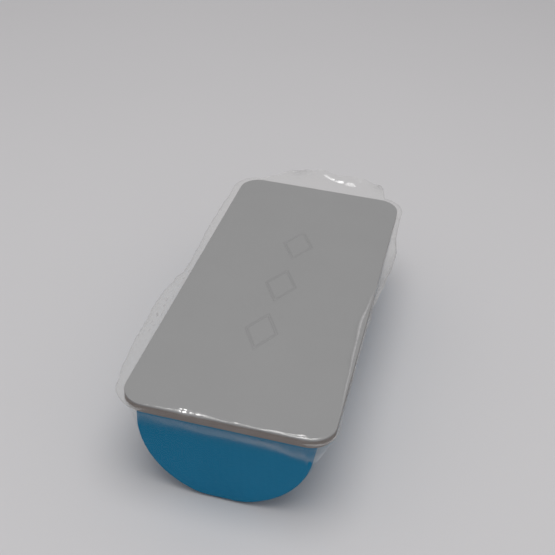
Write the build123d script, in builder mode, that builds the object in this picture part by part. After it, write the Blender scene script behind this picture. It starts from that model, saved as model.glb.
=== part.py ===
from build123d import *

import math
import os

# Half-round block of cue chalk on a stiff backing board, sealed in clear shrink film.
# Millimetres. +Y runs along the block, from its near end to the far end, where the film's seam is
# widest. +Z is up. The origin is the centre of the narrow flat that the wrapped block rests on.

# Chalk: a pressed bar with a half-round underside.
chalk_width = 22.0
chalk_length = 56.5
chalk_side_height = 1.75  # straight wall between the half-round and the top
crown_flat_width = 5.0  # pressed flat along the lowest line of the half-round
crown_blend_radius = 6.0  # blend between that flat and the half-round
chalk_end_round = 0.5  # round on the edges of both ends, but not on the top edges

# Backing board: a grey core with a thin face sheet laminated on it.
board_side_overhang = 2.05
board_end_overhang = 0.8
board_corner_radius = 3.2
core_thickness = 1.1
face_thickness = 0.2
face_edge_round = 0.08

# Adhesive between the chalk and the board.
adhesive_thickness = 0.15
adhesive_margin = 0.6  # how far it stays back from the chalk's edges

# Mark pressed into the face sheet: a row of diamond outlines, like the sights on a table's rail.
diamond_half_width = 2.3
diamond_half_length = 4.2
diamond_pitch = 11.0
diamond_count = 3
diamond_line = 0.5
mark_depth = 0.1

# Shrink film.
film_thickness = 0.1
film_clearance = 0.05  # between the film and what it holds
bridge_drop = 2.6  # how far below the board the film comes down to the chalk's walls

# Welded seam of the film: a flat fin of two layers, at half the board's height.
seam_layers = 2
side_fin = 2.2
far_fin = 4.5
far_fin_corner_radius = 2.0
fin_run_out = 5.0  # length over which a fin grows to its full width
left_fin_start = 2.5  # from the film's near end to where the left fin begins
right_fin_start = 26.0

# Sizes and heights that follow. Heights are above the surface that the film rests on.
board_width = chalk_width + 2 * board_side_overhang
board_length = chalk_length + 2 * board_end_overhang
chalk_radius = chalk_width / 2
chalk_bottom = film_thickness + film_clearance
round_axis = chalk_bottom + math.sqrt(chalk_radius**2 - (crown_flat_width / 2) ** 2)
chalk_top = round_axis + chalk_side_height
core_bottom = chalk_top + adhesive_thickness
core_top = core_bottom + core_thickness
face_top = core_top + face_thickness
bridge_bottom = core_bottom - bridge_drop
film_inside = film_clearance
film_outside = film_clearance + film_thickness


def half_round_bar(grow, top):
    """The chalk's outline up to the height top, grown outwards by grow everywhere but at its top."""
    radius = chalk_radius + grow
    flat_height = chalk_bottom - grow
    half_flat = math.sqrt(radius**2 - (round_axis - flat_height) ** 2)
    flat_angle = math.degrees(math.asin(half_flat / radius))
    with BuildPart() as bar:
        with BuildSketch(Plane.XZ) as section:
            with BuildLine():
                Line((-half_flat, flat_height), (half_flat, flat_height))
                CenterArc((0, round_axis), radius, flat_angle - 90, 90 - flat_angle)
                Polyline((radius, round_axis), (radius, top), (-radius, top), (-radius, round_axis))
                CenterArc((0, round_axis), radius, 180, 90 - flat_angle)
            make_face()
            fillet(section.vertices().group_by(Axis.Y)[0], crown_blend_radius)
        extrude(amount=chalk_length / 2 + grow, both=True)
        end_edges = bar.faces().filter_by(Axis.Y).edges()
        fillet(end_edges.group_by(Axis.Z)[:-1], chalk_end_round + grow)
    return bar.part


def board_outline(grow, mode=Mode.ADD):
    """The board's outline on the current sketch plane, grown outwards by grow."""
    width = board_width + 2 * grow
    length = board_length + 2 * grow
    RectangleRounded(width, length, board_corner_radius + grow, mode=mode)


def wrapped_shape(grow):
    """What the film holds, grown by grow: the board, the slope below it and the chalk below the slope."""
    with BuildPart() as shape:
        with BuildSketch(Plane.XY.offset(core_bottom)):
            board_outline(grow)
        extrude(amount=face_top + grow - core_bottom)
        with BuildSketch(Plane.XY.offset(core_bottom)):
            board_outline(grow)
        with BuildSketch(Plane.XY.offset(bridge_bottom)):
            RectangleRounded(chalk_width + 2 * grow, chalk_length + 2 * grow, chalk_end_round + grow)
        loft()
        add(half_round_bar(grow, core_bottom))
    return shape.part


# The chalk, pressed in one piece.
with BuildPart() as chalk_block:
    add(half_round_bar(0, chalk_top))
chalk_block.part.label = "chalk_block"

# The layer of adhesive that holds the chalk to the board.
with BuildPart() as adhesive_layer:
    with BuildSketch(Plane.XY.offset(chalk_top)):
        Rectangle(chalk_width - 2 * adhesive_margin, chalk_length - 2 * adhesive_margin)
    extrude(amount=adhesive_thickness)
adhesive_layer.part.label = "adhesive_layer"

# The board's core, die-cut with rounded corners.
with BuildPart() as board_core:
    with BuildSketch(Plane.XY.offset(core_bottom)):
        board_outline(0)
    extrude(amount=core_thickness)
board_core.part.label = "board_core"

# The face sheet, with the row of diamond outlines pressed into it.
inner_share = 1 - diamond_line * math.hypot(1 / diamond_half_width, 1 / diamond_half_length)
with BuildPart() as face_sheet:
    with BuildSketch(Plane.XY.offset(core_top)):
        board_outline(0)
    extrude(amount=face_thickness)
    fillet(face_sheet.faces().sort_by(Axis.Z)[-1].edges(), face_edge_round)
    with BuildSketch(Plane.XY.offset(face_top)):
        with GridLocations(0, diamond_pitch, 1, diamond_count):
            for share, mode in ((1, Mode.ADD), (inner_share, Mode.SUBTRACT)):
                across = diamond_half_width * share
                along = diamond_half_length * share
                Polygon((-across, 0), (0, -along), (across, 0), (0, along), mode=mode)
    extrude(amount=-mark_depth, mode=Mode.SUBTRACT)
face_sheet.part.label = "face_sheet"

# The film's skin, shrunk tight all round the block.
with BuildPart() as film_wrap:
    add(wrapped_shape(film_outside))
    add(wrapped_shape(film_inside), mode=Mode.SUBTRACT)
film_wrap.part.label = "film_wrap"

# The film's welded fin: along the left side, round the far end and half way back along the right.
film_side = board_width / 2 + film_outside
film_end = board_length / 2 + film_outside
fin_side = film_side + side_fin
fin_end = film_end + far_fin
left_start = left_fin_start - film_end
right_start = right_fin_start - film_end
seam_thickness = seam_layers * film_thickness
seam_middle = (core_bottom + face_top) / 2
with BuildPart() as film_seam:
    with BuildSketch(Plane.XY.offset(seam_middle - seam_thickness / 2)) as fin:
        with BuildLine():
            Polyline(
                (0, left_start),
                (-film_side, left_start),
                (-fin_side, left_start + fin_run_out),
                (-fin_side, fin_end),
                (fin_side, fin_end),
                (fin_side, right_start + fin_run_out),
                (film_side, right_start),
                (0, right_start),
                close=True,
            )
        make_face()
        fillet(fin.vertices().group_by(Axis.Y)[-1], far_fin_corner_radius)
        board_outline(film_outside, Mode.SUBTRACT)
    extrude(amount=seam_thickness)
film_seam.part.label = "film_seam"

os.makedirs("parts", exist_ok=True)
for piece in (chalk_block, adhesive_layer, board_core, face_sheet, film_wrap, film_seam):
    export_step(piece.part, f"parts/{piece.part.label}.step")
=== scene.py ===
import math

import bpy
import numpy as np
from mathutils import Matrix, Vector


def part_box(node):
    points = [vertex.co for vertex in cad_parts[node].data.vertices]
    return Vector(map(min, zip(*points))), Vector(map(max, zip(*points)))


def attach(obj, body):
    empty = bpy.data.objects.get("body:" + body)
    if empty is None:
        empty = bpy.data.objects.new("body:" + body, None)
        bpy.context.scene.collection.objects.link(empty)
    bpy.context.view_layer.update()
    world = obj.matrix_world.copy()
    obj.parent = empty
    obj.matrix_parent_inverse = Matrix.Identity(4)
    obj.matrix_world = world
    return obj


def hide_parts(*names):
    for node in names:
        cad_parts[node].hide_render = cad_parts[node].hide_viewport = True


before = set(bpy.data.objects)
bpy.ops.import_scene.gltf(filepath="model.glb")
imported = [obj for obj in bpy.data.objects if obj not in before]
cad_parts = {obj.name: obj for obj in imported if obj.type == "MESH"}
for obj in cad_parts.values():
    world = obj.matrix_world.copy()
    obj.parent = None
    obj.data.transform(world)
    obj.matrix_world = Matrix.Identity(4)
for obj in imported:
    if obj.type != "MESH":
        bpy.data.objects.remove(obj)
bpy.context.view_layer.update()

# The frame is in metres, and sizes are written in millimetres.
mm = 0.001

# ---------------------------------------------------------------------------------------------
# Chalk block. One pressed bar of fine blue chalk with a half-round underside and flat ends. Its
# end edges are slightly rounded by the press, and a few small crumbs are gone from them. The
# surface is matt, with fine pores and faint cloudy changes of tone.
# ---------------------------------------------------------------------------------------------
chalk_low, chalk_high = (Vector(corner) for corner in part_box("chalk_block"))
chalk_radius = (chalk_high.x - chalk_low.x) / 2
chalk_half_length = (chalk_high.y - chalk_low.y) / 2
crown_half_flat = 2.5 * mm
crown_blend = 6.0 * mm  # radius of the blend between the crown's flat and the half-round
round_axis = chalk_low.z + math.sqrt(chalk_radius**2 - crown_half_flat**2)
blend_height = chalk_low.z + crown_blend
blend_out = math.sqrt((chalk_radius - crown_blend) ** 2 - (round_axis - blend_height) ** 2)
chalk_end_round = 0.5 * mm
grain_pitch, grain_depth = 0.9 * mm, 0.008 * mm
chip_pitch, chip_depth = 1.6 * mm, 0.16 * mm
chip_level = 1.15  # how high a ripple stands where a chip starts
chip_reach_along, chip_reach_inwards = 0.5 * mm, 0.6 * mm  # of the chips, from an end and from the walls


def ripples(x, y, z, pitch, seed, waves=14):
    """Smooth noise, mostly between -1.5 and 1.5: sine waves in random directions, with random phases
    and with lengths up to a third off the pitch, added up and divided by the root of their number."""
    draw = np.random.default_rng(seed)
    total = np.zeros(np.broadcast(x, y, z).shape)
    for _ in range(waves):
        direction = draw.normal(size=3)
        direction *= 2 * math.pi / (pitch * draw.uniform(0.75, 1.33) * np.linalg.norm(direction))
        phase = draw.uniform(0, 2 * math.pi)
        total += np.sin(direction[0] * x + direction[1] * y + direction[2] * z + phase)
    return total / math.sqrt(waves)


def bell(distance, reach):
    """A bell curve: 1 at no distance, falling to 0.37 at a distance of reach."""
    return np.exp(-((distance / reach) ** 2))


def outward(rings):
    """Unit normals of a stack of closed rings: the cross product of the steps to the neighbours
    round a ring and from ring to ring."""
    along = np.gradient(rings, axis=0)
    round_ring = np.roll(rings, -1, axis=1) - np.roll(rings, 1, axis=1)
    normals = np.cross(along, round_ring)
    return normals / np.maximum(np.linalg.norm(normals, axis=2, keepdims=True), 1e-12)


def add_piece(name, corners, faces, sharp_degrees):
    """A mesh object of the given corners and faces, smooth but for edges sharper than an angle."""
    mesh = bpy.data.meshes.new(name)
    mesh.from_pydata(corners.tolist(), [], faces)
    mesh.polygons.foreach_set("use_smooth", np.ones(len(mesh.polygons), bool))
    mesh.set_sharp_from_angle(angle=math.radians(sharp_degrees))
    mesh.update()
    piece = bpy.data.objects.new(name, mesh)
    bpy.context.scene.collection.objects.link(piece)
    return piece


def ring_faces(ring_count, ring_size, start=0):
    """Quads between neighbouring rings of ring_size corners each, counted from corner start."""
    ring = np.arange(ring_count - 1)[:, None] * ring_size + start
    here = np.arange(ring_size)[None, :]
    after = (here + 1) % ring_size
    quads = np.stack([ring + here, ring + ring_size + here, ring + ring_size + after, ring + after], axis=2)
    return quads.reshape(-1, 4).tolist()


def closed_skin(name, rings, sharp_degrees=40):
    """A closed surface through a stack of rings, with a corner at the middle of its first ring and
    of its last one. The rings run so that their faces point outwards."""
    count, size = rings.shape[:2]
    corners = np.vstack([rings.reshape(-1, 3), rings[0].mean(axis=0), rings[-1].mean(axis=0)])
    faces = ring_faces(count, size)
    first, last = count * size, count * size + 1
    here = np.arange(size)
    after = (here + 1) % size
    faces += np.stack([np.full(size, first), here, after], axis=1).tolist()
    end = (count - 1) * size
    faces += np.stack([np.full(size, last), end + after, end + here], axis=1).tolist()
    return add_piece(name, corners, faces, sharp_degrees)


def half_round_section(shrink):
    """The bar's section as a closed loop of x and z, moved inwards by shrink: along the crown's flat,
    over its blend, up the right arc and the straight side, back along the top and down the left. The
    blend is an arc of a circle that touches the flat and, from inside, the half-round."""
    radius, blend = chalk_radius - shrink, crown_blend - shrink
    bottom, top = chalk_low.z + shrink, chalk_high.z - shrink
    join = math.atan2(blend_out, round_axis - blend_height)
    flat_x = np.linspace(0, blend_out, 5, endpoint=False)
    turn = np.linspace(0, join, 16, endpoint=False)
    angle = np.linspace(join, math.pi / 2, 94, endpoint=False)
    side_z = np.linspace(round_axis, top, 10, endpoint=False)
    top_x = np.linspace(radius, 0, 28, endpoint=False)
    right_x = np.concatenate([flat_x, blend_out + blend * np.sin(turn), radius * np.sin(angle),
                              np.full(len(side_z), radius), top_x])
    right_z = np.concatenate([np.full(len(flat_x), bottom), blend_height - blend * np.cos(turn),
                              round_axis - radius * np.cos(angle), side_z, np.full(len(top_x), top)])
    left_x, left_z = -right_x[:0:-1], right_z[:0:-1]
    x = np.concatenate([right_x, [0.0], left_x])
    z = np.concatenate([right_z, [top], left_z])
    return x, z


def chalk_rings():
    """Rings from the near end to the far one: the end face grows from its middle to the section, a
    quarter-circle rounds its edge, and the section runs straight along the bar to the other end."""
    share = np.linspace(0.02, 1, 44)
    turn = np.linspace(0, math.pi / 2, 7)[1:]
    run = chalk_half_length - chalk_end_round
    middle_z = (chalk_low.z + chalk_high.z) / 2
    face_x, face_z = half_round_section(chalk_end_round)
    rings = []
    for part in share:
        rings.append(np.stack([face_x * part, np.full_like(face_x, chalk_half_length),
                               middle_z + (face_z - middle_z) * part], axis=1))
    for angle in turn:
        x, z = half_round_section(chalk_end_round * (1 - math.sin(angle)))
        y = run + chalk_end_round * math.cos(angle)
        rings.append(np.stack([x, np.full_like(x, y), z], axis=1))
    far_half = np.array(rings)
    near_half = far_half * np.array([1, -1, 1])
    x, z = half_round_section(0)
    straight = [np.stack([x, np.full_like(x, y), z], axis=1) for y in np.linspace(-run, run, 120)[1:-1]]
    return np.concatenate([near_half, np.array(straight), far_half[::-1]])


rings = chalk_rings()
x, y, z = np.moveaxis(rings, 2, 0)
to_end = chalk_half_length - np.abs(y)
to_wall = chalk_radius - np.hypot(x, np.minimum(z - round_axis, 0))
near_edge = bell(np.maximum(to_end, 0), chip_reach_along) * bell(np.maximum(to_wall, 0), chip_reach_inwards)
chips = np.maximum(ripples(x, y, z, chip_pitch, 3) - chip_level, 0) * near_edge
inwards = grain_depth * ripples(x, y, z, grain_pitch, 5) + chip_depth * chips
chalk = closed_skin("chalk", rings - outward(rings) * inwards[..., None], 50)


class Shade:
    """A socket of a finish. Arithmetic on it adds Math nodes."""

    def __init__(self, finish, socket):
        self.finish, self.socket = finish, socket

    def maths(self, operation, *values):
        return self.finish.node("Math", {"operation": operation}, dict(enumerate(values)))

    def __add__(self, other):
        return self.maths("ADD", self, other)

    def __sub__(self, other):
        return self.maths("SUBTRACT", self, other)

    def __rsub__(self, other):
        return self.maths("SUBTRACT", other, self)

    def __mul__(self, other):
        return self.maths("MULTIPLY", self, other)

    def __truediv__(self, other):
        return self.maths("DIVIDE", self, other)

    __radd__ = __add__
    __rmul__ = __mul__

    def at_least(self, other):
        return self.maths("MAXIMUM", self, other)

    def at_most(self, other):
        return self.maths("MINIMUM", self, other)


class Finish:
    """A material's node tree, built one node at a time."""

    def __init__(self, name):
        self.material = bpy.data.materials.new(name)
        self.material.use_nodes = True
        self.tree = self.material.node_tree
        self.tree.nodes.clear()

    def node(self, kind, settings=None, inputs=None, output=0):
        """Adds a node, makes its settings, then sets or links its sockets, and gives an output."""
        made = self.tree.nodes.new("ShaderNode" + kind)
        for name, value in (settings or {}).items():
            setattr(made, name, value)
        for name, value in (inputs or {}).items():
            if isinstance(value, Shade):
                self.tree.links.new(value.socket, made.inputs[name])
            else:
                made.inputs[name].default_value = value
        return Shade(self, made.outputs[output])

    def place(self, stretch=(1, 1, 1)):
        """Object coordinates, stretched by a factor along each axis."""
        spot = self.node("TexCoord", output="Object")
        return self.node("Mapping", {}, {"Vector": spot, "Scale": stretch})

    def noise(self, pitch, detail=3, roughness=0.5, stretch=(1, 1, 1)):
        """Noise from 0 to 1 whose blotches are about pitch metres across."""
        return self.node("TexNoise", {}, {"Vector": self.place(stretch), "Scale": 1 / pitch,
                                          "Detail": detail, "Roughness": roughness})

    def mix(self, share, first, second):
        """A colour between two, by share."""
        return self.node("Mix", {"data_type": "RGBA"}, {0: share, 6: first, 7: second}, 2)

    def bump(self, height, depth, strength=1.0):
        """A normal bent by a height from 0 to 1 that stands for depth metres."""
        return self.node("Bump", {}, {"Height": height, "Distance": depth, "Strength": strength})

    def finish_with(self, shader):
        """Sends a shader to the output and gives the material."""
        output = self.tree.nodes.new("ShaderNodeOutputMaterial")
        self.tree.links.new(shader.socket, output.inputs["Surface"])
        return self.material


def chalk_finish():
    """Matt blue: clouds of tone a few millimetres across, fine pale specks and dark pores."""
    finish = Finish("pressed_chalk")
    clouds = finish.noise(5 * mm, 4)
    grain = finish.noise(0.22 * mm, 2, 0.6)
    specks = finish.node("TexVoronoi", {}, {"Vector": finish.place(), "Scale": 1 / (0.5 * mm)}, "Distance")
    pale = (0.12 - specks).at_least(0) * 4
    blue = finish.mix(clouds, (0.006, 0.160, 0.312, 1), (0.010, 0.184, 0.346, 1))
    blue = finish.mix((grain - 0.35).at_least(0) * 0.5, blue, (0.018, 0.22, 0.39, 1))
    blue = finish.mix(pale.at_most(0.5), blue, (0.25, 0.50, 0.66, 1))
    bump = finish.bump(grain + clouds * 0.5, 0.03 * mm, 0.3)
    return finish.finish_with(finish.node("BsdfPrincipled", {}, {
        "Base Color": blue, "Roughness": 0.9, "Specular IOR Level": 0.15, "Normal": bump}))


chalk.data.materials.append(chalk_finish())
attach(chalk, "root")
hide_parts("chalk_block")

# ---------------------------------------------------------------------------------------------
# Adhesive. A thin layer of white glue that holds the chalk under the board. It is pressed out
# unevenly, so its rim wanders a little, and it has dried with a dull gloss.
# ---------------------------------------------------------------------------------------------
adhesive_low, adhesive_high = (Vector(corner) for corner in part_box("adhesive_layer"))
adhesive_corner = 1.5 * mm
rim_bulge = 0.10 * mm  # how far the rim stands out past its top and bottom
rim_bevel = 0.03 * mm  # height over which it does so
wander_pitch, wander_share = 4 * mm, 0.014


def outline_loop(end_steps, side_steps, arc_steps):
    """Two parameters of a closed loop round a rectangle with round corners, anticlockwise from its
    near left corner. s runs across from -1 to 1. t runs along from -1 to 1 over the straight
    stretch, and on to -2 and 2 round the corners."""
    across = np.linspace(-1, 1, end_steps, endpoint=False)
    corner = np.linspace(1, 2, arc_steps, endpoint=False)
    straight = np.linspace(-1, 1, side_steps, endpoint=False)
    up = np.concatenate([corner - 3, straight, corner])
    s = np.concatenate([across, np.ones(len(up)), -across, -np.ones(len(up))])
    t = np.concatenate([np.full(end_steps, -2.0), up, np.full(end_steps, 2.0), -up])
    return s, t


def on_rectangle(s, t, half_width, half_length, radius):
    """Where s and t lie on a rectangle with round corners: t gives y, straight up to the corner and
    then by the sine of its turn, and s is the share of the half width that the outline has there."""
    turn = np.clip(np.abs(t) - 1, 0, 1) * math.pi / 2
    y = np.clip(t, -1, 1) * (half_length - radius) + np.sign(t) * radius * np.sin(turn)
    return s * (half_width - radius + radius * np.cos(turn)), y


def slab_rings(s, t, half_width, half_length, radius, profile, flat_steps):
    """Rings of a slab with round corners, from the middle of its top to the middle of its bottom.
    profile lists the inset and the height of its edge from top to bottom."""
    top, bottom = profile[0], profile[-1]
    inner = np.linspace(0.03, 1, flat_steps, endpoint=False)
    stack = [(share, *top) for share in inner] + [(1, *spot) for spot in profile]
    stack += [(share, *bottom) for share in inner[::-1]]
    rings = []
    for share, inset, height in stack:
        x, y = on_rectangle(s, t, half_width - inset, half_length - inset, max(radius - inset, 1e-6))
        rings.append(np.stack([x * share, y * share, np.full_like(x, height)], axis=1))
    return np.array(rings)


s, t = outline_loop(60, 140, 8)
edge = [(rim_bulge, adhesive_high.z), (0.0, adhesive_high.z - rim_bevel),
        (0.0, adhesive_low.z + rim_bevel), (rim_bulge, adhesive_low.z)]
rings = slab_rings(s, t, adhesive_high.x, adhesive_high.y, adhesive_corner, edge, 6)
wander = 1 - wander_share * (1 + ripples(rings[..., 0], rings[..., 1], 0, wander_pitch, 8)).clip(0, 2)
rings[..., 0] *= wander
rings[..., 1] *= wander
adhesive = closed_skin("adhesive", rings)


def adhesive_finish():
    """Cream white, a little uneven, with a dull gloss."""
    finish = Finish("dried_adhesive")
    clouds = finish.noise(2 * mm)
    colour = finish.mix(clouds, (0.62, 0.60, 0.52, 1), (0.78, 0.76, 0.68, 1))
    return finish.finish_with(finish.node("BsdfPrincipled", {}, {
        "Base Color": colour, "Roughness": clouds * 0.3 + 0.25, "Normal": finish.bump(clouds, 0.04 * mm)}))


adhesive.data.materials.append(adhesive_finish())
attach(adhesive, "root")
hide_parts("adhesive_layer")

# ---------------------------------------------------------------------------------------------
# Board core. Grey board made of waste-paper pulp in plies, die-cut with round corners. The cut
# edge is browner than the faces, shows the plies as thin lines and is slightly crushed by the die.
# ---------------------------------------------------------------------------------------------
core_low, core_high = (Vector(corner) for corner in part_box("board_core"))
board_half_width, board_half_length = core_high.x, core_high.y
board_corner = 3.2 * mm
ply_count = 4
ply_depth = 0.018 * mm  # of the line between two plies
crush = 0.06 * mm  # how far the die has pressed in the edge's rims
fibre_pitch, fibre_depth = 0.5 * mm, 0.008 * mm
flat_steps = 8

# The edge stands out in a flattened arch from rim to rim, with a small arch on it for each ply.
s, t = outline_loop(150, 330, 14)
core_thickness = core_high.z - core_low.z
down = np.linspace(0, 1, 22)
ply_arch = np.abs(np.sin(down * ply_count * math.pi)) ** 0.3
inset = crush * (1 - np.sin(down * math.pi) ** 0.35) + ply_depth - ply_depth * ply_arch
edge = list(zip(inset, core_high.z - down * core_thickness))
rings = slab_rings(s, t, board_half_width, board_half_length, board_corner, edge, flat_steps)
fibres = ripples(rings[..., 0], rings[..., 1], rings[..., 2] * 6, fibre_pitch, 12)
on_edge = np.zeros(len(rings))
on_edge[flat_steps + 1:-flat_steps - 1] = 1
rings -= outward(rings) * (fibre_depth * (fibres.clip(-1, 1) + 1) * on_edge[:, None])[..., None]
core = closed_skin("board_core_cut", rings, 60)


def core_finish():
    """Grey-brown pulp: fibres that lie flat, paler and darker plies, and dark specks."""
    finish = Finish("grey_board")
    plies = finish.noise(0.16 * mm, 2, 0.5, (0.05, 0.05, 1))
    fibres = finish.noise(0.4 * mm, 4, 0.65, (0.4, 0.4, 3))
    colour = finish.mix(plies, (0.15, 0.125, 0.115, 1), (0.30, 0.27, 0.25, 1))
    colour = finish.mix(fibres * 0.7, colour, (0.20, 0.165, 0.145, 1))
    specks = finish.node("TexVoronoi", {}, {"Vector": finish.place(), "Scale": 1 / (0.8 * mm)}, "Distance")
    colour = finish.mix((0.10 - specks).at_least(0) * 6, colour, (0.06, 0.05, 0.05, 1))
    return finish.finish_with(finish.node("BsdfPrincipled", {}, {
        "Base Color": colour, "Roughness": 0.95, "Specular IOR Level": 0.2,
        "Normal": finish.bump(fibres, 0.03 * mm, 0.7)}))


core.data.materials.append(core_finish())
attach(core, "root")
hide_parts("board_core")

# ---------------------------------------------------------------------------------------------
# Face sheet. Matt grey sheet laminated on the board, with a fine even tooth. A die has pressed a
# row of three diamond outlines into it, with soft shoulders, and has rolled its edge over a little.
# ---------------------------------------------------------------------------------------------
face_low, face_high = (Vector(corner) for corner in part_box("face_sheet"))
edge_round = 0.08 * mm
diamond_half_width = 2.3 * mm
diamond_half_length = 4.2 * mm
diamond_pitch = 11.0 * mm
diamond_count = 3
groove_width = 0.58 * mm
groove_depth = 0.17 * mm
groove_inset = 0.35 * groove_width  # of the groove's middle, from the diamond's outline
groove_margin_across, groove_margin_along = 0.9 * mm, 1.0 * mm  # of the finer grid past the grooves


def diamond_groove(x, y):
    """Depth, from 0 to 1, of the grooves. The distance to a diamond's outline is |x| and |y| in its
    half-diagonals, added up, less one, over the steepness of that sum. The groove's section is a
    raised cosine of the distance to its middle."""
    half_row = (diamond_count - 1) / 2
    nearest = np.clip(np.round(y / diamond_pitch), -half_row, half_row) * diamond_pitch
    steepness = math.hypot(1 / diamond_half_width, 1 / diamond_half_length)
    outside = (np.abs(x) / diamond_half_width + np.abs(y - nearest) / diamond_half_length - 1) / steepness
    outside += groove_inset
    return (1 + np.cos(np.clip(outside / (groove_width / 2), -1, 1) * math.pi)) / 2


def face_sheet_surface():
    """A grid over the top, finer over the grooves, whose edge loop goes on as rings: a quarter-circle
    over the rolled edge, the cut wall and the underside."""
    fine = np.linspace(-1, 1, 76) * (diamond_half_width + groove_margin_across) / board_half_width
    coarse = np.linspace(fine[-1], 1, 26)[1:]
    s = np.concatenate([-coarse[::-1], fine, coarse])
    row_end = diamond_pitch * (diamond_count - 1) / 2 + diamond_half_length + groove_margin_along
    row_share = row_end / board_half_length
    t_fine = np.linspace(-row_share, row_share, 330)
    t_coarse = np.linspace(row_share, 1, 40)[1:]
    t_corner = np.linspace(1, 2, 12)[1:]
    t = np.concatenate([-t_corner[::-1], -t_coarse[::-1], t_fine, t_coarse, t_corner])
    grid_s, grid_t = np.meshgrid(s, t)
    x, y = on_rectangle(grid_s, grid_t, board_half_width - edge_round, board_half_length - edge_round,
                        board_corner - edge_round)
    z = face_high.z - groove_depth * diamond_groove(x, y)
    rows, columns = x.shape
    index = np.arange(rows * columns).reshape(rows, columns)
    loop = np.concatenate([index[0, :-1], index[:-1, -1], index[-1, :0:-1], index[:0:-1, 0]])
    loop_s, loop_t = grid_s.ravel()[loop], grid_t.ravel()[loop]
    turn = np.linspace(0, math.pi / 2, 5)[1:]
    edge = [(edge_round * (1 - math.sin(a)), face_high.z - edge_round * (1 - math.cos(a))) for a in turn]
    edge.append((0.0, face_low.z))
    rings = []
    for share, inset, height in [(1, *spot) for spot in edge] + [(0.6, *edge[-1]), (0.1, *edge[-1])]:
        ring_x, ring_y = on_rectangle(loop_s, loop_t, board_half_width - inset, board_half_length - inset,
                                      board_corner - inset)
        rings.append(np.stack([ring_x * share, ring_y * share, np.full(len(loop), height)], axis=1))
    rings = np.array(rings)
    on_top = np.stack([x, y, z], axis=2).reshape(-1, 3)
    corners = np.vstack([on_top, rings.reshape(-1, 3), [[0, 0, face_low.z]]])
    top = np.stack([index[:-1, :-1], index[:-1, 1:], index[1:, 1:], index[1:, :-1]], axis=2).reshape(-1, 4)
    start = rows * columns
    size = len(loop)
    after = (np.arange(size) + 1) % size
    join = np.stack([loop, start + np.arange(size), start + after, loop[after]], axis=1)
    last = start + (len(rings) - 1) * size
    fan = np.stack([np.full(size, len(corners) - 1), last + after, last + np.arange(size)], axis=1)
    faces = top.tolist() + join.tolist() + ring_faces(len(rings), size, start) + fan.tolist()
    return corners, faces


face = add_piece("face_sheet_pressed", *face_sheet_surface(), 50)


def face_finish():
    """Neutral grey, with a fine tooth and a faint cloudy tone."""
    finish = Finish("grey_face_sheet")
    tooth = finish.noise(0.14 * mm, 2, 0.6)
    clouds = finish.noise(9 * mm, 3)
    colour = finish.mix(clouds, (0.290, 0.292, 0.293, 1), (0.310, 0.312, 0.313, 1))
    colour = finish.mix((tooth - 0.4).at_least(0) * 0.4, colour, (0.360, 0.362, 0.363, 1))
    return finish.finish_with(finish.node("BsdfPrincipled", {}, {
        "Base Color": colour, "Roughness": tooth * 0.2 + 0.55, "Specular IOR Level": 0.3,
        "Normal": finish.bump(tooth, 0.015 * mm, 0.6)}))


face.data.materials.append(face_finish())
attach(face, "root")
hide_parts("face_sheet")

# ---------------------------------------------------------------------------------------------
# Shrink film. One piece of clear film, folded over the near end, welded on its other sides and
# shrunk with hot air. It lies tight on the board, slopes from the board's lower edge to the chalk
# and clings to the chalk below. Past the weld its two layers stand out as a crinkled fin.
# ---------------------------------------------------------------------------------------------
film_gap = 0.06 * mm
end_drop = 3.3 * mm  # from the board's lower edge to where the film meets the chalk's flat ends
end_round = 0.55 * mm  # radius of the film's turn under the chalk's ends
wall_corner = 0.6 * mm  # radius of the film's upright corners where it clings to the chalk
fin_root = 0.10 * mm  # half the fin's thickness where it leaves the board's edge
weld_radius = 0.06 * mm  # of the bead that the weld leaves along the fin's outer edge
weld_haze = 0.3 * mm  # width of the milky line beside the weld
weld_start = 0.93  # share of the fin's width past which the weld's bead begins
edge_wander = 0.04  # share of its width by which the fin's outer edge wanders
fin_wave = math.radians(4)  # tilt of the fin's slow waves
seam_height = (core_low.z + face_high.z) / 2

# Depths of the fin's fine puckers, of those in its crumpled patches, and of its slow swells.
pucker_depth, crumple_depth, swell_depth = 0.004 * mm, 0.05 * mm, 0.06 * mm

# What varies round the board is given at places. They count the board's sides: 0 to 1 up the left
# side from the near end, 1 to 2 across the far end, 2 to 3 back down the right side and 3 to 4 back
# across the near end. These are the fin's widths in mm.
fin_widths = [
    (0.00, 0.5), (0.05, 1.15), (0.12, 1.8), (0.20, 2.0), (0.28, 2.15), (0.38, 2.2), (0.44, 1.7),
    (0.49, 1.1), (0.60, 1.1), (0.70, 1.4), (0.80, 1.4), (0.92, 1.2), (1.00, 1.3), (1.10, 2.2),
    (1.24, 4.0), (1.36, 4.8), (1.50, 5.0), (1.62, 4.8), (1.75, 4.5), (1.92, 4.4), (1.95, 3.6),
    (1.975, 2.0), (2.01, 1.1), (2.06, 0.7), (2.16, 0.8), (2.25, 1.5), (2.33, 1.4), (2.40, 1.0),
    (2.47, 0.5), (2.51, 0.2), (2.56, 0.35), (2.61, 0.15), (2.90, 0.15), (2.98, 0.3), (3.04, 0.1),
    (3.10, 0.0), (3.92, 0.0),
]
# How steeply the fin turns up at its root and at its tip, in degrees.
root_tilts = [
    (0.0, 5), (0.3, 8), (0.5, 12), (0.8, 8), (1.0, 14), (1.3, 21), (1.9, 16), (2.05, 12), (3.0, 5),
]
tip_tilts = [
    (0.0, 10), (0.3, 20), (0.5, 24), (0.8, 18), (1.0, 18), (1.3, 23), (1.9, 17), (2.05, 14), (3.0, 8),
]
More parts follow.
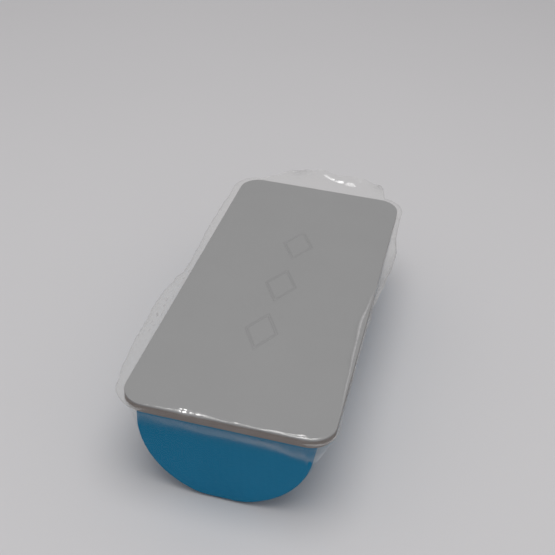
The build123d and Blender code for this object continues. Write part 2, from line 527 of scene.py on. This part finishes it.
# The radius, in mm, at which the film bends over the board's top edge. It is large where the film
# is slack: half way down the right side, and in long gentle swells along the near end.
bend_radii = [
    (0.0, 0.15), (2.44, 0.15), (2.50, 0.60), (2.60, 1.30), (2.70, 1.0), (2.80, 0.60), (2.92, 0.25),
    (3.0, 0.35), (3.06, 0.65), (3.12, 0.45), (3.24, 0.45), (3.32, 0.30), (3.44, 0.40), (3.50, 0.30),
    (3.60, 0.65), (3.74, 0.70), (3.85, 0.30), (3.95, 0.18),
]
# How strongly the film mirrors on that bend. It shines where it is drawn smooth.
bend_shine = [
    (0.0, 0.5), (2.98, 0.8), (3.01, 3.0), (3.05, 6.0), (3.10, 4.0), (3.14, 1.5), (3.17, 3.0),
    (3.27, 3.0), (3.30, 1.0), (3.40, 1.2), (3.43, 3.5), (3.47, 1.2), (3.58, 1.5), (3.61, 4.0),
    (3.645, 8.0), (3.66, 2.0), (3.672, 3.0), (3.685, 12.0), (3.73, 12.0), (3.745, 2.0), (3.90, 1.0),
]
# How milky the fin is.
milkiness = [
    (0.0, 0.10), (0.45, 0.08), (0.8, 0.08), (1.1, 0.03), (1.8, 0.02), (2.05, 0.08), (2.3, 0.20),
    (2.47, 0.45), (2.58, 0.10), (2.95, 0.12), (3.1, 0.05), (3.9, 0.05),
]
# Strengths, along the right side, of a line near the top of the bend: it gets extra gloss and a painted
# highlight, a pale milky stripe where a crease in the film would catch the light. The bend's shape has no
# crease in it.
fold_highlights = [(2.42, 0.0), (2.55, 0.6), (2.85, 0.6), (3.0, 0.0), (6.0, 0.0)]
# At the near end a glossy band runs across the film, drawn by its gloss alone, with no crease in the shape.
# These are how far below the board its middle is, in mm, and how glossy it is.
crease_drops = [(0.0, 1.4), (3.0, 2.7), (3.08, 2.3), (3.2, 1.75), (3.4, 1.5), (3.9, 1.4)]
crease_shine = [(0.0, 0.0), (3.0, 1.7), (3.2, 1.5), (3.5, 0.9), (3.8, 0.5), (3.95, 0.0)]
crease_up, crease_down = 0.85 * mm, 0.45 * mm  # how far it reaches up and down from its middle

# The crumpled patches of the fin, and the milky smudges at its weld: place, reach and strength.
crumples = [(0.31, 0.07, 1.0), (0.45, 0.05, 0.6), (2.55, 0.03, 0.6)]
smudges = [(1.29, 0.08, 1.0), (1.91, 0.05, 1.0)]

# A pleat runs slantwise over the far fin, turns steeply up and catches the light. It is at a share
# of the fin's width that falls from place to place, and it is broken near its right end.
pleat_middle, pleat_reach = 1.60, 0.135  # places
pleat_break, pleat_break_reach = 1.645, 0.012
pleat_share, pleat_fall = 0.70, 0.75
pleat_tilt = math.radians(19)
pleat_tilt_reach, pleat_shine_reach = 0.065, 0.09  # across the fin, in shares of its width
pleat_glint, pleat_glint_reach = 1.605, 0.04  # place of its brightest stretch
pleat_shine, glint_shine = 0.4, 2.7  # how strongly it mirrors, and how much more it does there


def place_round_board(s, t):
    """How far round the board a point of the outline is, counted in the board's sides as above."""
    x, y = on_rectangle(s, t, 1.0, 1.0, 0.1)
    up = (y + 1) / 2
    place = np.where(s <= -1, up, 3 - up)
    place = np.where(t >= 2, 1 + (x + 1) / 2, place)
    return np.where(t <= -2, 3 + (1 - x) / 2, place)


def around(stops):
    """A value given at places round the board, eased between them: its cubic step from each place to
    the next starts and ends level."""
    places, values = np.array(stops).T
    places = np.append(places, places[0] + 4)
    values = np.append(values, values[0])
    here = np.mod(place - places[0], 4) + places[0]
    before = np.clip(np.searchsorted(places, here, side="right") - 1, 0, len(places) - 2)
    part = (here - places[before]) / (places[before + 1] - places[before])
    return values[before] + (values[before + 1] - values[before]) * part**2 * (3 - 2 * part)


def spots(listed):
    """The sum of bell curves round the board, each given by its place, reach and strength."""
    return sum(strength * bell(place - middle, reach) for middle, reach, strength in listed)


# The film's outline: where its points are on the board's edge, which way is out there, and their
# places. What follows is worked out for all of them at once.
s, t = outline_loop(150, 230, 12)
turn = np.clip(np.abs(t) - 1, 0, 1) * math.pi / 2
across = np.where(np.abs(t) >= 2, 0, s * np.cos(turn))
along = np.sign(t) * np.sin(turn)
edge_x, edge_y = on_rectangle(s, t, board_half_width, board_half_length, board_corner)
place = place_round_board(s, t)
milky = around(milkiness)


def film_over_board():
    """Rings from the middle of the top to the board's edge, each with how loose and how milky the film is
    there; along the right side the milkiness also paints a pale highlight line near the top of the bend.
    Shrunken copies of the edge lie flat on the board, then rings rise towards the bend in a bell curve, and
    then a quarter-circle bends over the edge."""
    bend = around(bend_radii) * mm + 0.02 * mm * ripples(edge_x, edge_y, 0, 1.1 * mm, 27)
    bend_inset = 0.7 * bend  # from the board's edge, and down from its top, to the bend's centre
    lift = 0.3 * bend  # how high it stands over the board's top
    crinkle = 0.012 * mm * ripples(edge_x, edge_y, 0, 1.3 * mm, 28)
    shine, fold_highlight = around(bend_shine), around(fold_highlights)
    top = face_high.z + film_gap
    for share in np.linspace(0.05, 0.8, 7):
        yield edge_x * share, edge_y * share, top, 0.15, 0.01
    for before_bend in (1.6, 1.1, 0.8, 0.5, 0.3, 0.15, 0.05):
        offset = -bend_inset - before_bend * mm
        height = top + (lift - film_gap).clip(0) * bell(before_bend * mm, 1.6 * bend)
        yield edge_x + across * offset, edge_y + along * offset, height, 0.15, 0.01
    for angle in np.linspace(0, math.pi / 2, 9):
        offset = (bend * math.sin(angle) - bend_inset).clip(None, film_gap + 0.1 * mm)
        height = face_high.z - bend_inset + (bend + crinkle) * math.cos(angle)
        # On the right side's painted highlight line the film gets extra gloss and a pale milky stripe,
        # painted on near the top of the bend.
        on_fold_highlight = fold_highlight * bell(angle - 0.2, 0.16)
        looseness = 0.4 + shine * math.cos(angle) ** 2 + 4.0 * on_fold_highlight
        cloudiness = 0.01 + milky * math.sin(angle) + on_fold_highlight
        yield edge_x + across * offset, edge_y + along * offset, height, looseness, cloudiness


def film_fin():
    """Rings out along the fin's upper layer and back along its lower one. The fin's section is
    walked outwards from its root in short steps at its tilt there, and on both sides of that line
    lies half its thickness, which falls off with the square of the distance to the weld, or the
    circle of the weld's bead."""
    ragged = ripples(edge_x, edge_y, 0, 1.3 * mm, 21) * 0.5 + ripples(edge_x, edge_y, 0, 4 * mm, 22)
    width = around(fin_widths) * mm * (1 + edge_wander * ragged)
    root_tilt, tip_tilt = np.radians(around(root_tilts)), np.radians(around(tip_tilts))
    wave = fin_wave * ripples(edge_x, edge_y, 0, 7 * mm, 23)
    crumpled, smudged = spots(crumples), spots(smudges)

    # Shares of the fin's width, closer together where the pleat and the weld are.
    outs = np.concatenate([np.linspace(0, 0.5, 8, endpoint=False), np.linspace(0.5, 0.86, 13),
                           [0.90, 0.94, 0.97, 0.99, 1.0]])
    reach = np.zeros((len(outs), len(s)))
    rise = np.zeros_like(reach)
    pleat_out = pleat_share - pleat_fall * (place - pleat_middle)
    in_pleat = np.exp(-(((place - pleat_middle) / pleat_reach) ** 8))
    in_pleat *= 1 - 0.4 * bell(place - pleat_break, pleat_break_reach)
    for row, out in enumerate(outs[1:], 1):
        middle = (out + outs[row - 1]) / 2
        tilt = root_tilt + (tip_tilt - root_tilt) * middle + wave * middle
        tilt += pleat_tilt * in_pleat * bell(middle - pleat_out, pleat_tilt_reach)
        step = width * (out - outs[row - 1])
        reach[row] = reach[row - 1] + step * np.cos(tilt)
        rise[row] = rise[row - 1] + step * np.sin(tilt)
    bead = np.minimum(weld_radius, width * 0.2)
    puckered = np.clip(width / (1.2 * mm), 0, 1)
    glint = pleat_shine + glint_shine * bell(place - pleat_glint, pleat_glint_reach)
    upper = [(1, row) for row in range(len(outs))]
    lower = [(-1, row) for row in range(len(outs) - 2, -1, -1)]
    for side, row in upper + lower:
        out = outs[row]
        from_tip = (1 - out) * width
        round_bead = np.sqrt(np.clip(1 - (from_tip / bead.clip(1e-9) - 1) ** 2, 0, 1)) * bead
        thickness = np.maximum(fin_root * (1 - out) ** 2, round_bead)
        depth = pucker_depth + crumple_depth * crumpled
        pucker = ripples(edge_x, edge_y, from_tip * 0.4, 0.7 * mm, 24) * depth
        pucker += ripples(edge_x, edge_y, from_tip * 0.3, 3.0 * mm, 25) * swell_depth
        height = seam_height + side * thickness + rise[row] + pucker * puckered * out
        offset = film_gap + reach[row]
        specks = (ripples(edge_x, edge_y * 0.5, from_tip, 0.6 * mm, 29) - 0.7).clip(0, 1) * crumpled
        on_weld = 0.6 if out > weld_start else 0.0
        looseness = 0.7 - on_weld + glint * in_pleat * bell(out - pleat_out, pleat_shine_reach)
        cloudiness = milky * (0.5 + out**2 + bell(from_tip, weld_haze))
        cloudiness += 0.22 * smudged * bell(1 - out, 0.3) + 0.5 * specks * math.sin(math.pi * out)
        yield edge_x + across * offset, edge_y + along * offset, height, looseness, cloudiness


def film_below_board():
    """Rings down from the board's lower edge. On both sides the film runs straight to a tangent of
    the half-round and then down its arc, where the rings narrow with it. To the flat ends it curves
    in as a parabola, and under them it turns in a quarter-circle. The last rings close the
    underside."""
    radius = chalk_radius + film_gap
    side_x = board_half_width + film_gap
    over_axis = core_low.z - round_axis
    from_axis = math.hypot(side_x, over_axis)
    touch = math.acos(radius / from_axis) - math.asin(over_axis / from_axis)
    touch_x, touch_z = radius * math.cos(touch), round_axis - radius * math.sin(touch)
    bottom_angle = math.acos(crown_half_flat / chalk_radius)
    on_slope = np.linspace(core_low.z, touch_z, 20, endpoint=False)
    on_arc = round_axis - radius * np.sin(np.linspace(touch, bottom_angle, 14))
    crease_drop = around(crease_drops) * mm
    gloss = around(crease_shine)
    for height in np.concatenate([on_slope, on_arc]):
        down = core_low.z - height
        if height > touch_z:
            part = down / (core_low.z - touch_z)
            half_width = side_x + (touch_x - side_x) * part
            free_side = 1 - part**4
        else:
            half_width = math.sqrt(max(radius**2 - (round_axis - height) ** 2, 0))
            free_side = 0.0
        inwards = 1 - (1 - min(down / end_drop, 1)) ** 2
        free_end = 1 - inwards**4
        under = min(max(0.0, (chalk_low.z - film_gap + end_round - height) / end_round), 1.0)
        half_length = board_half_length + (chalk_half_length - board_half_length) * inwards + film_gap
        half_length -= end_round * (1 - math.sqrt(1 - under**2))
        corner = board_corner + (wall_corner - board_corner) * min(down / (1.6 * end_drop), 1)
        x, y = on_rectangle(s, t, half_width, half_length, corner)
        at_end = np.clip((np.abs(y) - half_length + corner) / corner, 0, 1)
        crease = bell(down - crease_drop, np.where(down < crease_drop, crease_up, crease_down)) * gloss
        looseness = free_side * (1 - at_end) + free_end * at_end
        yield x, y, height, looseness * 0.6 + 1.6 * crease * at_end, 0.003 + 0.02 * looseness
    for share in (0.8, 0.5, 0.2, 0.04):
        yield x * share, y * (0.6 + 0.4 * share), height, 0.0, 0.005


layers = [*film_over_board(), *film_fin(), *film_below_board()]
rings = np.array([np.stack(np.broadcast_arrays(x, y, z), axis=1) for x, y, z, _, _ in layers])
loose = np.array([np.broadcast_to(layer[3], s.shape) for layer in layers])
milk_and_painted_line = np.array([np.broadcast_to(layer[4], s.shape) for layer in layers])

# Where the film is loose it also ripples: finely, and in slow swells.
x, y, z = np.moveaxis(rings, 2, 0)
slack = 0.004 * mm * ripples(x, y, z, 1.1 * mm, 31) + 0.02 * mm * ripples(x, y, z, 4 * mm, 32)
film = closed_skin("film", rings + outward(rings) * (slack * loose)[..., None], 75)
# The milky attribute holds the film's milkiness and, on the right side's bend, a painted highlight line
# too.
for name, values in (("loose", loose), ("milky", milk_and_painted_line)):
    per_corner = np.concatenate([values.ravel(), [values[0].mean(), values[-1].mean()]]).astype(np.float32)
    film.data.attributes.new(name, "FLOAT", "POINT").data.foreach_set("value", per_corner)


def film_finish():
    """Clear and thin: it lets light straight through, mirrors by angle, less where it clings, and is milky
    where it has shrunk and crumpled. Its milkiness also carries a painted highlight: a pale line along the
    right side's bend."""
    finish = Finish("shrink_film")
    looseness = finish.node("Attribute", {"attribute_name": "loose"}, output="Fac")
    cloudiness = finish.node("Attribute", {"attribute_name": "milky"}, output="Fac")
    streaks = finish.noise(0.7 * mm, 4, 0.6)
    normal = finish.bump(streaks, 0.012 * mm, 0.5)
    edge_on = finish.node("LayerWeight", {}, {"Blend": 0.5, "Normal": normal}, "Facing")
    mirrored = edge_on.maths("POWER", edge_on, 5.0) * 0.96 + 0.04
    gloss = mirrored * (looseness * 1.1 + 0.15)
    # The milky share also paints a pale highlight line on the right side's bend.
    haze_and_painted_line = cloudiness * (streaks * 1.2 + 0.4)
    shown = (gloss + haze_and_painted_line).at_most(1.0)
    mirror_share = gloss / shown
    colour = finish.mix(mirror_share, (0.45, 0.45, 0.45, 1), (0.96, 0.955, 0.95, 1))
    body = finish.node("BsdfPrincipled", {}, {
        "Base Color": colour, "Metallic": mirror_share, "Roughness": 0.12, "Normal": normal})
    clear = finish.node("BsdfTransparent", {}, {"Color": (0.99, 0.99, 0.985, 1)})
    return finish.finish_with(finish.node("MixShader", {}, {0: shown, 1: clear, 2: body}))


film.data.materials.append(film_finish())
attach(film, "root")
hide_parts("film_wrap", "film_seam")

# ---------------------------------------------------------------------------------------------
# Studio. A plain pale floor, one soft round lamp overhead and even light from all round.
# ---------------------------------------------------------------------------------------------
bpy.ops.mesh.primitive_plane_add(size=4.0)
floor = bpy.context.object
floor.name = "floor"


def floor_finish():
    """Pale grey with faint wide clouds, half matt."""
    finish = Finish("pale_floor")
    clouds = finish.noise(60 * mm, 2)
    colour = finish.mix(clouds, (0.605, 0.60, 0.605, 1), (0.625, 0.62, 0.625, 1))
    return finish.finish_with(finish.node("BsdfPrincipled", {}, {"Base Color": colour, "Roughness": 0.7}))


floor.data.materials.append(floor_finish())

lamp = bpy.data.objects.new("overhead_lamp", bpy.data.lights.new("overhead_lamp", "AREA"))
lamp.data.shape = "DISK"
lamp.data.size = 0.32
lamp.data.energy = 0.755
lamp.location = (0.02, -0.06, 0.38)
lamp.rotation_euler = (Vector((0, 0, 0)) - lamp.location).to_track_quat("-Z", "Y").to_euler()
bpy.context.scene.collection.objects.link(lamp)

world = bpy.data.worlds.new("studio")
world.use_nodes = True
background = world.node_tree.nodes["Background"]
background.inputs["Color"].default_value = (1.0, 0.98, 1.0, 1)
background.inputs["Strength"].default_value = 0.46
bpy.context.scene.world = world
bpy.context.scene.view_settings.view_transform = "Standard"

# The camera stands off the near end, a little to the right: four board widths away and nearly
# three up. It is turned a little about its own axis.
board_width = 2 * board_half_width
board_middle = Vector((0, 0, face_high.z))
camera = bpy.data.objects.new("camera", bpy.data.cameras.new("camera"))
camera.data.lens = 60.0
camera.data.sensor_width = 36.0
camera.data.clip_start = 0.005
camera_spot = board_middle + Vector((0.798, -4.027, 2.860)) * board_width
aim = board_middle + Vector((-0.035, 0.063, 0)) * board_width
roll_degrees = 4.04
look = (aim - camera_spot).to_track_quat("-Z", "Y").to_matrix().to_4x4()
roll = Matrix.Rotation(math.radians(roll_degrees), 4, "Z")
camera.matrix_world = Matrix.Translation(camera_spot) @ look @ roll
bpy.context.scene.collection.objects.link(camera)
bpy.context.scene.camera = camera
